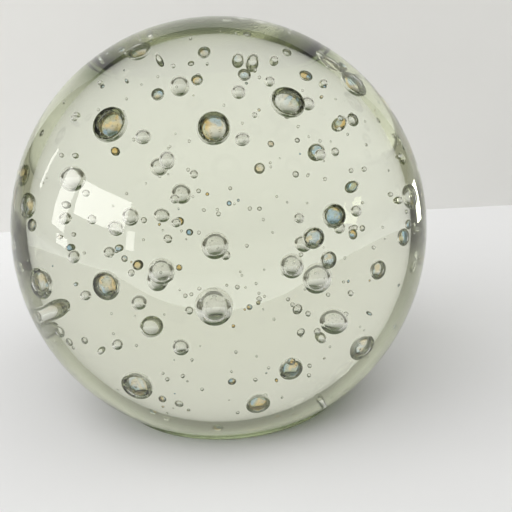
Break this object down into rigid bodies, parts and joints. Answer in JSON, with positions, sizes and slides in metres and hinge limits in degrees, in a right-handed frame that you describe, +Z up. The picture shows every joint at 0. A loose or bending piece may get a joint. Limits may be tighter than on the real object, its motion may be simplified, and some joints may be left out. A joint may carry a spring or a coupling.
{
  "type": "paperweight",
  "caption": "Heavy hand-made ball of pale green glass, full of air bubbles, thinner from front to back and leaning slightly back, with a ground flat base; it holds papers down.",
  "frame": {"origin": "on the surface that the ball stands on, straight under the middle of the ball; the ground base is centred 4 mm in front of it, because the ball leans", "axes": "+Z up through the middle of the ball, -Y towards the front; the ball is a little thinner along Y than it is wide along X"},
  "size_m": [0.12, 0.106, 0.1106],
  "materials": {
    "core_glass": "clear, pale green, with air bubbles",
    "inner_glass": "clear, pale green, with air bubbles",
    "outer_glass": "fire-polished outside, finely ground base"
  },
  "bodies": {
    "root": {"first_gather": "core_glass", "second_gather": "inner_glass", "third_gather": "inner_glass", "outer_gather": "outer_glass"}
  },
  "joints": []
}
